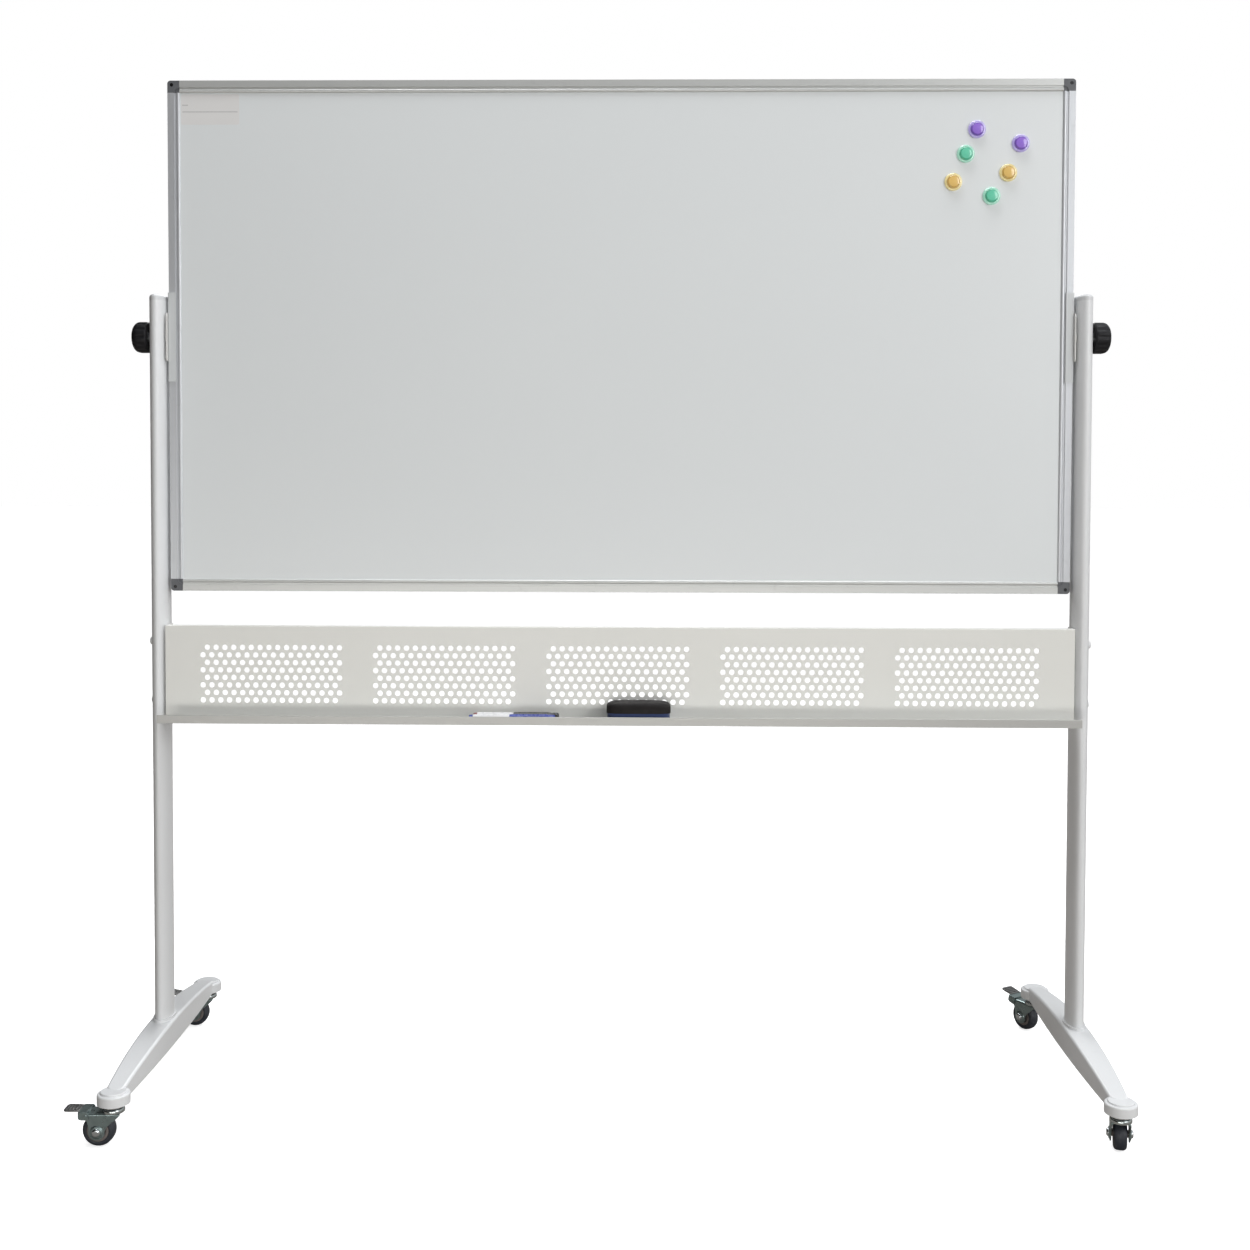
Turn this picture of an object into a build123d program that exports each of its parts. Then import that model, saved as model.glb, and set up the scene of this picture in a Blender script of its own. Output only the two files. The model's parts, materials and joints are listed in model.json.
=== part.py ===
from build123d import *
import math
import os

# Rolling whiteboard: a two-sided writing board that turns over on two pivots between the posts
# of a wheeled steel stand. Millimetres. The origin is on the floor, midway between the posts;
# +X is to the user's right, +Y is to the back, +Z is up.

running_clearance = 0.05

# ---- board
board_width = 1500.0
board_height = 848.0
board_depth = 20.0
pivot_height = 1258.0
frame_face = 20.0          # width of the frame seen from the front, and of a corner piece
frame_flat = 11.0          # flat outer land of the frame's face
groove_width = 3.0         # shadow groove between the land and the rounded inner bead
panel_inset = 5.0          # from the frame's outer edge to the edge of the panel
panel_half_depth = 7.0
sheet_thickness = 0.5
corner_radius = 5.5
corner_step_radius = 8.0   # quarter-round step at a corner piece's inner corner
corner_step_depth = 1.2
screw_inset = 7.0
screw_radius = 1.5
screw_head_radius = 2.8
screw_cross = (1.8, 0.35)   # half length and half width of the recess's bars
spigot_reach = 22.0

# ---- stand
post_centre = 769.0
post_half_x = 14.0
post_half_y = 30.0
post_wall = 1.5
post_top = 1318.0
cap_height = 10.0
foot_reach = 258.0         # from the post to the caster's swivel axis
foot_underside = 65.7
foot_crown = 107.5
foot_end_top = 84.5
foot_width_centre = 41.0
foot_width_end = 29.0
foot_edge_radius = 4.0
foot_shell = 4.0
foot_rib = 3.0
foot_rib_places = (-160, -90, 90, 160)
pad_radius = 25.0
pad_edge_radius = 3.0
tongue_radius = 20.0
tongue_edge_radius = 1.5
pad_top = 81.7
collar_width = 3.0
collar_top = 112.0
socket_floor = 76.0
plug_height = 40.0
foot_bolt_radius = 5.0
foot_bolt_head_radius = 8.5
foot_bolt_recess = 5.0

# ---- perforated panel and pen tray
panel_front = -27.0
panel_bottom = 626.0
panel_top = 777.0
panel_sheet = 1.2
panel_flange_depth = 17.0
panel_end_y = 12.0
hole_radius = 4.5
hole_pitch = 14.75
hole_row_pitch = 12.6
hole_rows = 8
hole_columns = 16
field_pitch = 289.0
field_count = 5
top_row_height = 741.0
tray_half_length = 751.0
tray_front = -90.0
tray_sheet = 1.5
tray_lip_top = 637.0
tray_lip_sheet = 2.0
panel_bolt_heights = (749.0, 650.0)
panel_bolt_head_heights = (5.0, 2.5)
panel_bolt_head_radius = 6.5
panel_bolt_radius = 3.0
panel_bolt_hole = 3.3
panel_nut_radius = 5.6
panel_nut_height = 5.0
fold_radius = 0.9

# ---- pivots and knobs
bracket_height = 148.0
bracket_overlap = 12.0
bracket_sheet = 1.5
bracket_flange = 1.7
insert_radius = 6.2
boss_radius = 15.0
pivot_plate_height = 80.0
pivot_plate_width = 36.0
pivot_plate_sheet = 1.6
stud_radius = 4.0
knob_radius = 26.0
knob_thickness = 27.0
knob_waist = 15.0          # straight length before the crown starts
knob_nose_radius = 14.0
knob_flutes = 12
flute_radius = 10.0
flute_offset = 35.0
stud_depth = 14.0          # how far the stud reaches into the knob
washer_thickness = 1.5
washer_radius = 12.0

# ---- casters
wheel_radius = 25.0
wheel_width = 20.0
tyre_shoulder = 3.5
hub_radius = 17.0
hub_web_radius = 12.0
hub_boss_radius = 6.0
axle_radius = 3.0
axle_head_radius = 6.5
axle_head_height = 5.0
trail = 22.0
cheek_inner = 13.0
cheek_sheet = 2.0
cheek_end_radius = 12.5
fork_plate_top = 54.0
fork_dome_top = 60.0
fork_dome_radius = 17.0
neck_radius = 15.5
lever_pivot = (-38.0, 50.0)
lever_pin_radius = 2.5
lever_sheet = 1.4
lever_gap = 0.4
lever_plate = (55.0, 56.6)
lever_tread_top = 58.0
lever_rib_height = 1.0
tread_half_width = 13.0
rib_width = 2.4
rib_pitch = 5.0
rib_count = 4
lever_travel = 10.0

# Each caster's heading, as the direction its wheel trails in, and whether its brake is on
caster_headings = {
    "front_left": 180.0,
    "front_right": 76.0,
    "rear_left": 180.0,
    "rear_right": 122.0,
}
brakes_on = ("front_left",)

# ---- things kept on the board: centres along X and Z
magnet_flange_radius = 14.5
magnet_flange_height = 3.5
magnet_button_radius = 10.0
magnet_height = 8.0
magnets = {
    "purple_magnet_left": (589.0, 1600.0),
    "purple_magnet_right": (661.0, 1577.0),
    "green_magnet_upper": (571.0, 1560.0),
    "green_magnet_lower": (614.0, 1491.0),
    "yellow_magnet_right": (641.0, 1529.0),
    "yellow_magnet_left": (551.0, 1514.0),
}
eraser_centre = (35.0, -58.0)
eraser_size = (105.0, 50.0)
eraser_base_height = 17.0
eraser_height = 34.0
marker_radius = 6.3
marker_cap_radius = 6.9
marker_length = 142.0
marker_cap_length = 75.0
markers = {"blue_marker": (-243.0, -71.0), "black_marker": (-238.0, -50.0)}

# ---- worked out
half_width = board_width / 2
half_height = board_height / 2
shelf_top = panel_bottom - panel_sheet
post_outer = post_centre + post_half_x
post_inner = post_centre - post_half_x


def box(low, high):
    """Box between two corners."""
    size = [b - a for a, b in zip(low, high)]
    centre = [(a + b) / 2 for a, b in zip(low, high)]
    return Pos(*centre) * Box(*size)


def rod(start, end, radius, axis):
    """Cylinder along one axis, between two points that differ on that axis only."""
    turn = {"x": Rot(0, 90, 0), "y": Rot(90, 0, 0), "z": Rot(0, 0, 0)}[axis]
    length = max(abs(b - a) for a, b in zip(start, end))
    centre = [(a + b) / 2 for a, b in zip(start, end)]
    return Pos(*centre) * turn * Cylinder(radius, length)


def extruded(sketch, plane, start, amount):
    """Sketch drawn on a plane, moved along the plane's normal and extruded."""
    return extrude(plane.offset(start) * sketch, amount)


def outline(*edges):
    """Face inside a closed run of edges."""
    return make_face(Curve() + list(edges))


def tube_ellipse(bottom, top, grow=0.0):
    """Upright elliptical prism on the origin, as large as a post's outside plus grow."""
    face = Ellipse(post_half_x + grow, post_half_y + grow)
    return Pos(0, 0, bottom) * extrude(face, top - bottom)


# ---------------------------------------------------------------- board

def frame_profile():
    """Section of the frame extrusion: across from its outer edge, and through its depth."""
    half = board_depth / 2
    lip = panel_half_depth + 0.05
    land = frame_flat
    bead = frame_flat + groove_width
    groove_floor = half - 1.8
    front = [
        Line((0, half), (land, half)),
        Line((land, half), (land, groove_floor)),
        Line((land, groove_floor), (bead, groove_floor)),
        ThreePointArc((bead, groove_floor), (bead + 3.2, half - 0.3), (frame_face, groove_floor)),
        Line((frame_face, groove_floor), (frame_face, lip)),
        Line((frame_face, lip), (panel_inset, lip)),
    ]
    back = [edge.mirror(Plane.XZ) for edge in front]
    sides = [Line((panel_inset, lip), (panel_inset, -lip)), Line((0, -half), (0, half))]
    whole = outline(*front, *back, *sides)
    chamber = Pos(2.7, 0) * Rectangle(2.2, 2 * (half - 1.5))
    return whole - chamber


def frame_bar(length):
    """Frame extrusion along X, centred, with its outer edge up and its faces to the front and back."""
    section = Plane.YZ * Rot(0, 0, -90) * frame_profile()
    return Pos(-length / 2, 0, 0) * extrude(section, length)


def frame_top():
    return Pos(0, 0, pivot_height + half_height) * frame_bar(board_width - 2 * frame_face)


def frame_bottom():
    bar = Rot(0, 180, 0) * frame_bar(board_width - 2 * frame_face)
    return Pos(0, 0, pivot_height - half_height) * bar


def frame_side(side):
    bar = Rot(0, 90 * side, 0) * frame_bar(board_height - 2 * frame_face)
    bar = Pos(side * half_width, 0, pivot_height) * bar
    return bar - pivot_nut_pocket(side, insert_radius + 0.1)


def pivot_nut_pocket(side, radius):
    start = (side * (half_width - bracket_overlap - 0.3), 0, pivot_height)
    end = (side * (half_width + 5), 0, pivot_height)
    return rod(start, end, radius, "x")


def cross_hole(place, front, back, radius):
    """Cylinder through the board's depth at an (X, Z) place."""
    x, z = place
    return rod((x, front, z), (x, back, z), radius, "y")


def corner_piece(across, up):
    """Moulded corner: covers the ends of two extrusions and the panel's corner, with a spigot in each."""
    half = board_depth / 2
    block = box((0, -half, 0), (frame_face, half, frame_face))
    outer_edge = block.edges().filter_by(Axis.Y).group_by(Axis.X)[0].sort_by(Axis.Z)[:1]
    block = fillet(outer_edge, corner_radius)
    panel = box((panel_inset - 0.2, -7.05, panel_inset - 0.2), (frame_face, 7.05, frame_face))
    block -= panel
    inner_corner = (frame_face, frame_face)
    for face in (-1, 1):
        near, far = sorted((face * (half - corner_step_depth), face * half))
        block -= cross_hole(inner_corner, near, far, corner_step_radius)
    spigot_end = frame_face + spigot_reach
    block += box((frame_face - 0.01, -8.3, 1.7), (spigot_end, 8.3, 3.7))
    block += box((1.7, -8.3, frame_face - 0.01), (3.7, 8.3, spigot_end))
    place = (screw_inset, screw_inset)
    block -= cross_hole(place, -half, half, screw_radius + 0.1)
    block -= cross_hole(place, -half, 2 - half, screw_head_radius + 0.2)
    turned = block
    if across < 0 and up < 0:
        turned = Rot(0, 180, 0) * block
    elif across < 0:
        turned = Rot(0, -90, 0) * block
    elif up < 0:
        turned = Rot(0, 90, 0) * block
    corner = (-across * half_width, 0, pivot_height - up * half_height)
    return Pos(*corner) * turned


def corner_pieces():
    return [corner_piece(across, up) for across in (1, -1) for up in (1, -1)]


def corner_screw_places():
    inset = screw_inset
    return [
        (across * (half_width - inset), pivot_height + up * (half_height - inset))
        for across in (-1, 1)
        for up in (-1, 1)
    ]


def board_screws():
    """Countersunk screws through the corner pieces, with a cross recess in each head."""
    screws = []
    long, short = screw_cross
    for place in corner_screw_places():
        screw = cross_hole(place, -8.5, 9.2, screw_radius)
        screw += cross_hole(place, -9.2, -8.0, screw_head_radius)
        x, z = place
        screw -= box((x - long, -9.3, z - short), (x + long, -8.6, z + short))
        screw -= box((x - short, -9.3, z - long), (x + short, -8.6, z + long))
        screws.append(screw)
    return screws


def panel_layer(front, back):
    """One layer of the writing panel, with clearance for the corner screws."""
    inset = panel_inset
    low = (-half_width + inset, front, pivot_height - half_height + inset)
    high = (half_width - inset, back, pivot_height + half_height - inset)
    layer = box(low, high)
    for place in corner_screw_places():
        layer -= cross_hole(place, front - 1, back + 1, screw_radius + 0.3)
    return layer


def board_core():
    inner = panel_half_depth - sheet_thickness
    core = panel_layer(-inner, inner)
    for side in (-1, 1):
        core -= pivot_nut_pocket(side, insert_radius + 0.2)
    return core


def front_sheet():
    return panel_layer(-panel_half_depth, sheet_thickness - panel_half_depth)


def back_sheet():
    return panel_layer(panel_half_depth - sheet_thickness, panel_half_depth)


def side_bracket(side):
    """Channel that clasps the side of the frame at the pivot."""
    half = board_depth / 2
    height = bracket_height / 2
    outer = box((half_width - bracket_overlap, -half - bracket_flange, -height),
                (half_width + bracket_sheet, half + bracket_flange, height))
    outer = fillet(outer.edges().filter_by(Axis.Z).group_by(Axis.X)[-1], 2.4)
    outer -= box((half_width - 20, -half - 0.05, -height - 1), (half_width, half + 0.05, height + 1))
    outer -= rod((half_width - 1, 0, 0), (half_width + 5, 0, 0), stud_radius + 0.4, "x")
    bracket = outer if side > 0 else Rot(0, 0, 180) * outer
    return Pos(0, 0, pivot_height) * bracket


def side_brackets():
    return [side_bracket(side) for side in (-1, 1)]


def pivot_plate(side):
    """Pressed plate with a raised round boss that bears on the post."""
    start = half_width + bracket_sheet
    face = start + pivot_plate_sheet
    plate = box((start, -pivot_plate_width / 2, -pivot_plate_height / 2),
                (face, pivot_plate_width / 2, pivot_plate_height / 2))
    plate = fillet(plate.edges().filter_by(Axis.X), 6)
    plate += rod((face - 0.01, 0, 0), (post_inner - 0.2, 0, 0), boss_radius, "x")
    plate -= rod((start - 1, 0, 0), (post_inner + 1, 0, 0), stud_radius + 0.4, "x")
    turned = plate if side > 0 else Rot(0, 0, 180) * plate
    return Pos(0, 0, pivot_height) * turned


def pivot_plates():
    return [pivot_plate(side) for side in (-1, 1)]


def pivot_nuts():
    """Threaded inserts in the frame's sides, which the knobs' studs screw into."""
    nuts = []
    for side in (-1, 1):
        start = (side * (half_width - bracket_overlap), 0, pivot_height)
        end = (side * half_width, 0, pivot_height)
        nut = rod(start, end, insert_radius, "x")
        nuts.append(nut - rod(start, end, stud_radius + running_clearance, "x"))
    return nuts


# ---------------------------------------------------------------- pivots

def knob(side):
    """Moulded clamp knob: flat back, straight waist with shallow flutes, crowned outer face."""
    radius = knob_radius
    thickness = knob_thickness
    edges = [
        Line((0, 0), (0, radius - 3)),
        Line((0, radius - 3), (3, radius)),
        Line((3, radius), (knob_waist, radius)),
        ThreePointArc((knob_waist, radius), (22.5, radius - 5), (thickness, knob_nose_radius)),
        Line((thickness, knob_nose_radius), (thickness, 0)),
        Line((thickness, 0), (0, 0)),
    ]
    body = revolve(outline(*edges), Axis.X)
    for index in range(knob_flutes):
        angle = math.radians(360 / knob_flutes * index + 11)
        y, z = flute_offset * math.cos(angle), flute_offset * math.sin(angle)
        body -= rod((-1, y, z), (thickness + 1, y, z), flute_radius, "x")
    body -= rod((-1, 0, 0), (stud_depth, 0, 0), stud_radius, "x")
    placed = Pos(post_outer + washer_thickness, 0, 0) * body
    turned = placed if side > 0 else Rot(0, 0, 180) * placed
    return Pos(0, 0, pivot_height) * turned


def knob_stud(side):
    start = (side * (half_width - bracket_overlap + 2), 0, pivot_height)
    end = (side * (post_outer + washer_thickness + stud_depth), 0, pivot_height)
    return rod(start, end, stud_radius, "x")


def knob_washers():
    washers = []
    for side in (-1, 1):
        start = (side * post_outer, 0, pivot_height)
        end = (side * (post_outer + washer_thickness), 0, pivot_height)
        washers.append(rod(start, end, washer_radius, "x") - rod(start, end, stud_radius + 0.4, "x"))
    return washers


# ---------------------------------------------------------------- stand

def post(side):
    """Oval steel tube with holes for the pivot stud and the panel's bolts."""
    tube = tube_ellipse(socket_floor, post_top) - tube_ellipse(socket_floor - 1, post_top + 1, -post_wall)
    tube -= rod((-20, 0, pivot_height), (20, 0, pivot_height), stud_radius + running_clearance, "x")
    for height in panel_bolt_heights:
        tube -= rod((-20, 0, height), (20, 0, height), panel_bolt_hole, "x")
    return Pos(side * post_centre, 0, 0) * tube


def post_cap(side):
    """Domed cap with a plug that fits inside the tube."""
    cap = tube_ellipse(post_top, post_top + cap_height)
    cap = fillet(cap.edges().sort_by(Axis.Z)[-1:], 5)
    cap += tube_ellipse(post_top - 22, post_top + 0.1, -post_wall - 0.2)
    cap -= tube_ellipse(post_top - 23, post_top, -post_wall - 3)
    return Pos(side * post_centre, 0, 0) * cap


def foot_side_profile(drop):
    """Side view of a foot: flat underside and an arched top, lowered by drop."""
    reach = foot_reach
    bottom = foot_underside
    end = foot_end_top - drop
    return outline(
        Line((-reach, bottom), (reach, bottom)),
        Line((reach, bottom), (reach, end)),
        ThreePointArc((reach, end), (0, foot_crown - drop), (-reach, end)),
        Line((-reach, end), (-reach, bottom)),
    )


def foot_plan(inset):
    """Plan of a foot's arm: bowed sides, widest at the post, with round ends over the pads."""
    centre = foot_width_centre / 2 - inset
    end = foot_width_end / 2 - inset
    reach = foot_reach - end
    return outline(
        ThreePointArc((-end, -reach), (-centre, 0), (-end, reach)),
        ThreePointArc((-end, reach), (0, foot_reach), (end, reach)),
        ThreePointArc((end, reach), (centre, 0), (end, -reach)),
        ThreePointArc((end, -reach), (0, -foot_reach), (-end, -reach)),
    )


def foot_arm(inset, drop):
    across = extruded(foot_side_profile(drop), Plane.YZ, -30, 60)
    plan = extruded(foot_plan(inset), Plane.XY, foot_underside, foot_crown)
    return across & plan


def foot_end(end):
    """Round pad over a caster, with a lower round step on it where the arm runs out."""
    y = end * foot_reach
    pad = rod((0, y, foot_underside), (0, y, pad_top), pad_radius, "z")
    pad = fillet(pad.edges().sort_by(Axis.Z)[-1:], pad_edge_radius)
    tongue = rod((0, y, foot_underside), (0, y, foot_end_top), tongue_radius, "z")
    return pad + fillet(tongue.edges().sort_by(Axis.Z)[-1:], tongue_edge_radius)


def foot_cavity():
    """Hollow under the arm, crossed by ribs."""
    inside = foot_reach - pad_radius - foot_shell
    cavity = foot_arm(foot_shell, foot_shell) & box((-30, -inside, 0), (30, inside, 200))
    for y in foot_rib_places:
        cavity -= box((-30, y - foot_rib / 2, foot_underside + 2), (30, y + foot_rib / 2, 200))
    return cavity


def foot(side):
    """Die-cast foot: a hollow arched arm with a socket for the post and a pad for each caster."""
    arm = foot_arm(0, 0)
    top_edges = arm.edges().filter_by(lambda edge: edge.center().Z > foot_end_top - 1)
    shape = fillet(top_edges, foot_edge_radius)
    shape += [foot_end(end) for end in (-1, 1)]
    shape -= Pos(0, 0, -0.01) * foot_cavity()
    shape += tube_ellipse(foot_underside, collar_top, collar_width)
    shape -= tube_ellipse(socket_floor, foot_crown + 20, 0.05)
    shape -= rod((0, 0, foot_underside - 1), (0, 0, socket_floor + 1), foot_bolt_radius + 0.3, "z")
    recess_top = foot_underside + foot_bolt_recess
    shape -= rod((0, 0, foot_underside - 1), (0, 0, recess_top), foot_bolt_head_radius + 0.5, "z")
    for end in (-1, 1):
        y = end * foot_reach
        shape -= rod((0, y, foot_underside - 1), (0, y, pad_top - 3), stud_radius, "z")
    return Pos(side * post_centre, 0, 0) * shape


def post_plugs():
    """Solid plugs pressed into the lower ends of the posts, which the foot bolts screw into."""
    plugs = []
    for side in (-1, 1):
        plug = tube_ellipse(socket_floor, socket_floor + plug_height, -post_wall)
        plug -= rod((0, 0, socket_floor - 1), (0, 0, socket_floor + plug_height - 5), foot_bolt_radius, "z")
        plugs.append(Pos(side * post_centre, 0, 0) * plug)
    return plugs


def foot_bolts():
    """Socket-head bolts that pull each foot onto its post."""
    bolts = []
    for side in (-1, 1):
        head_top = foot_underside + foot_bolt_recess
        bolt = rod((0, 0, head_top - 0.01), (0, 0, socket_floor + plug_height - 7), foot_bolt_radius, "z")
        bolt += rod((0, 0, foot_underside - 1), (0, 0, head_top), foot_bolt_head_radius, "z")
        key = Pos(0, 0, foot_underside - 1) * extrude(RegularPolygon(4.2, 6), 3.5)
        bolts.append(Pos(side * post_centre, 0, 0) * (bolt - key))
    return bolts


def hole_fields():
    """Plan of the staggered round holes, in fields spread along the panel."""
    places = []
    for field in range(field_count):
        middle = (field - (field_count - 1) / 2) * field_pitch
        for row in range(hole_rows):
            shift = hole_pitch / 4 if row % 2 == 0 else -hole_pitch / 4
            for column in range(hole_columns):
                x = middle + shift + (column - (hole_columns - 1) / 2) * hole_pitch
                places.append((x, top_row_height - row * hole_row_pitch))
    return [Pos(x, z) * Circle(hole_radius) for x, z in places]


def perforated_panel():
    """Front of the folded steel panel between the posts, with rounded folds along its long edges."""
    face = Pos(0, (panel_bottom + panel_top) / 2) * Rectangle(2 * post_inner, panel_top - panel_bottom)
    panel = extruded(face - hole_fields(), Plane.XZ, -panel_front - panel_sheet, panel_sheet)
    folds = panel.edges().filter_by(Axis.X).group_by(Axis.Y)[0]
    return fillet(folds, fold_radius)


def panel_flanges():
    """Flanges of the folded panel: along the top, along the bottom and, deeper, at both ends."""
    front = panel_front + panel_sheet
    back = panel_front + panel_flange_depth
    inside = post_inner - panel_sheet
    flanges = [
        box((-inside, front, panel_top - panel_sheet), (inside, back, panel_top)),
        box((-inside, front, panel_bottom), (inside, back, panel_bottom + panel_sheet)),
    ]
    for side in (-1, 1):
        near, far = sorted((side * inside, side * post_inner))
        flange = box((near, front, panel_bottom), (far, panel_end_y, panel_top))
        for height in panel_bolt_heights:
            flange -= rod((near - 1, 0, height), (far + 1, 0, height), panel_bolt_hole, "x")
        flanges.append(flange)
    return flanges


def pen_tray():
    """Shelf under the panel with an upstanding front lip."""
    half = tray_half_length
    bottom = shelf_top - tray_sheet
    tray = box((-half, tray_front, bottom), (half, panel_front + 12, shelf_top))
    lip = box((-half, tray_front, bottom), (half, tray_front + tray_lip_sheet, tray_lip_top))
    lip = fillet(lip.edges().filter_by(Axis.X).group_by(Axis.Z)[-1], fold_radius)
    return tray + lip


def panel_bolts():
    """Bolts through the posts into the panel's end flanges, with crowned heads outside."""
    bolts = []
    for side in (-1, 1):
        for height, head in zip(panel_bolt_heights, panel_bolt_head_heights):
            inner = side * (post_inner - panel_sheet - 7)
            bolt = rod((inner, 0, height), (side * (post_outer + 1), 0, height), panel_bolt_radius, "x")
            dome = rod((0, 0, 0), (head, 0, 0), panel_bolt_head_radius, "x")
            dome = fillet(dome.edges().sort_by(Axis.X)[-1:], head * 0.6)
            turn = Pos(post_outer, 0, height) * dome
            bolt += turn if side > 0 else turn.mirror(Plane.YZ)
            nut_start = post_inner - panel_sheet - panel_nut_height
            nut = extruded(RegularPolygon(panel_nut_radius, 6), Plane.YZ, nut_start, panel_nut_height)
            nut = Pos(0, 0, height) * nut
            bolt += nut if side > 0 else nut.mirror(Plane.YZ)
            bolts.append(bolt)
    return bolts


# ---------------------------------------------------------------- casters
# A caster is drawn with its swivel axis on the Z axis and its wheel trailing towards -X.

def place_caster(shape, name):
    end, side = name.split("_")
    x = post_centre if side == "right" else -post_centre
    y = -foot_reach if end == "front" else foot_reach
    return Pos(x, y, 0) * Rot(0, 0, caster_headings[name] - 180) * shape


def caster_stem():
    """Threaded stem with the bearing neck above the fork and the riveted end below it."""
    stem = rod((0, 0, 51.0), (0, 0, pad_top - 4), stud_radius, "z")
    neck = rod((0, 0, fork_dome_top + 0.4), (0, 0, foot_underside), neck_radius, "z")
    rivet = rod((0, 0, 49.0), (0, 0, 51.2), 6.0, "z")
    return stem + neck + rivet


def caster_stems():
    return [place_caster(caster_stem(), name) for name in caster_headings]


def cheek_outline():
    """Side view of a fork cheek: wide under the crown, and round where it carries the axle."""
    x = -trail
    top = fork_plate_top
    round_end = cheek_end_radius - 0.8
    plate = outline(
        Line((x - 22, top), (14, top)),
        Line((14, top), (4, 40)),
        Line((4, 40), (x + round_end, wheel_radius + 4)),
        Line((x + round_end, wheel_radius + 4), (x - round_end, wheel_radius + 4)),
        Line((x - round_end, wheel_radius + 4), (x - 14, 42)),
        Line((x - 14, 42), (x - 22, 45)),
        Line((x - 22, 45), (x - 22, top)),
    )
    return plate + Pos(x, wheel_radius) * Circle(cheek_end_radius)


def caster_fork():
    """Pressed fork: a domed crown over two cheeks that carry the axle."""
    outer = cheek_inner + cheek_sheet
    inside = fork_dome_radius - 2
    crown = rod((0, 0, fork_plate_top - 2), (0, 0, fork_dome_top), fork_dome_radius, "z")
    crown = fillet(crown.edges().sort_by(Axis.Z)[-1:], 3.5)
    crown -= rod((0, 0, fork_plate_top - 3), (0, 0, fork_dome_top - 2), inside, "z")
    plate = box((-trail - 10, -outer, fork_plate_top - 2), (0, outer, fork_plate_top))
    plate -= rod((0, 0, 0), (0, 0, 80), inside, "z")
    fork = crown + plate
    for start in (cheek_inner, -outer):
        cheek = extruded(cheek_outline(), Plane.XZ, -start - cheek_sheet, cheek_sheet)
        cheek -= rod((0, 0, 0), (0, 0, 52.5), fork_dome_radius - 5, "z")
        fork += cheek
    fork -= rod((0, 0, 40), (0, 0, 80), stud_radius + running_clearance, "z")
    fork -= rod((-trail, -20, wheel_radius), (-trail, 20, wheel_radius), axle_radius, "y")
    x, z = lever_pivot
    fork -= rod((x, -20, z), (x, 20, z), lever_pin_radius + running_clearance, "y")
    return fork


def caster_axle():
    """Axle bolt with a domed head outside each cheek."""
    outer = cheek_inner + cheek_sheet
    x, z = -trail, wheel_radius
    axle = rod((x, -outer - 1, z), (x, outer + 1, z), axle_radius, "y")
    for side in (-1, 1):
        head = rod((x, side * outer, z), (x, side * (outer + axle_head_height), z), axle_head_radius, "y")
        rims = head.edges().sort_by(Axis.Y)
        axle += fillet(rims[-1:] if side > 0 else rims[:1], axle_head_height * 0.7)
    return axle


def wheel_ring(outer, inner, half):
    x, z = -trail, wheel_radius
    ring = rod((x, -half, z), (x, half, z), outer, "y")
    return ring - rod((x, -half - 1, z), (x, half + 1, z), inner, "y")


def wheel_hub():
    """Moulded wheel centre: rim, web and a long boss on the axle."""
    hub = wheel_ring(hub_radius, hub_web_radius, wheel_width / 2 - 0.5)
    hub += wheel_ring(hub_web_radius + 0.5, hub_boss_radius - 1, 3.0)
    hub += wheel_ring(hub_boss_radius, axle_radius + running_clearance, cheek_inner - 0.4)
    return hub


def wheel_tyre():
    tyre = wheel_ring(wheel_radius, hub_radius, wheel_width / 2)
    circles = tyre.edges().filter_by(GeomType.CIRCLE)
    rims = circles.filter_by(lambda edge: abs(edge.radius - wheel_radius) < 0.01)
    return fillet(rims, tyre_shoulder)


def brake_lever(lift):
    """Foot brake: a channel that pivots on the cheeks, with a ribbed tread plate beyond the wheel."""
    inner = cheek_inner + cheek_sheet + lever_gap
    outer = inner + lever_sheet
    pivot_x, pivot_z = lever_pivot
    low, high = (height - pivot_z for height in lever_plate)
    top = lever_tread_top - pivot_z
    lever = box((-12, -outer, low), (2, outer, high))
    for side in (-1, 1):
        near, far = sorted((side * inner, side * outer))
        lever += box((-12, near, -6), (4, far, high - 0.6))
    tread = box((-36.5, -tread_half_width, low), (-11, tread_half_width, top))
    lever += fillet(tread.edges().filter_by(Axis.Z).group_by(Axis.X)[0], 5)
    for index in range(rib_count):
        rib = -33 + rib_pitch * index
        lever += box((rib, -10.5, top - 0.1), (rib + rib_width, 10.5, top + lever_rib_height))
    lever += rod((0, -outer - 0.8, 0), (0, outer + 0.8, 0), lever_pin_radius, "y")
    lever += rod((0, -8, 0), (0, 8, 0), 4.0, "y")
    lever += box((-3, -8, 0), (3, 8, low + 0.5))
    return Pos(pivot_x, 0, pivot_z) * Rot(0, lift, 0) * lever


# ---------------------------------------------------------------- accessories

def magnet(x, z):
    """Button magnet: a flange and a raised round grip, flat on the writing surface."""
    flange = rod((0, 0, 0), (0, 0, magnet_flange_height), magnet_flange_radius, "z")
    flange = fillet(flange.edges().sort_by(Axis.Z)[-1:], 1.5)
    button = rod((0, 0, 0), (0, 0, magnet_height), magnet_button_radius, "z")
    button = fillet(button.edges().sort_by(Axis.Z)[-1:], 1.2)
    return Pos(x, -panel_half_depth - 0.05, z) * Rot(90, 0, 0) * (flange + button)


def eraser_grip():
    length, width = eraser_size
    low = (-length / 2, -width / 2, eraser_base_height)
    high = (length / 2, width / 2, eraser_height)
    grip = box(low, high)
    grip = fillet(grip.edges().filter_by(Axis.Z), 6)
    grip = fillet(grip.edges().group_by(Axis.Z)[-1], 7)
    return Pos(*eraser_centre, shelf_top + 0.05) * grip


def eraser_felt():
    length, width = eraser_size
    felt = box((-length / 2 + 1, -width / 2 + 1, 0), (length / 2 - 1, width / 2 - 1, eraser_base_height))
    felt = fillet(felt.edges().filter_by(Axis.Z), 5)
    return Pos(*eraser_centre, shelf_top + 0.05) * felt


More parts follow.
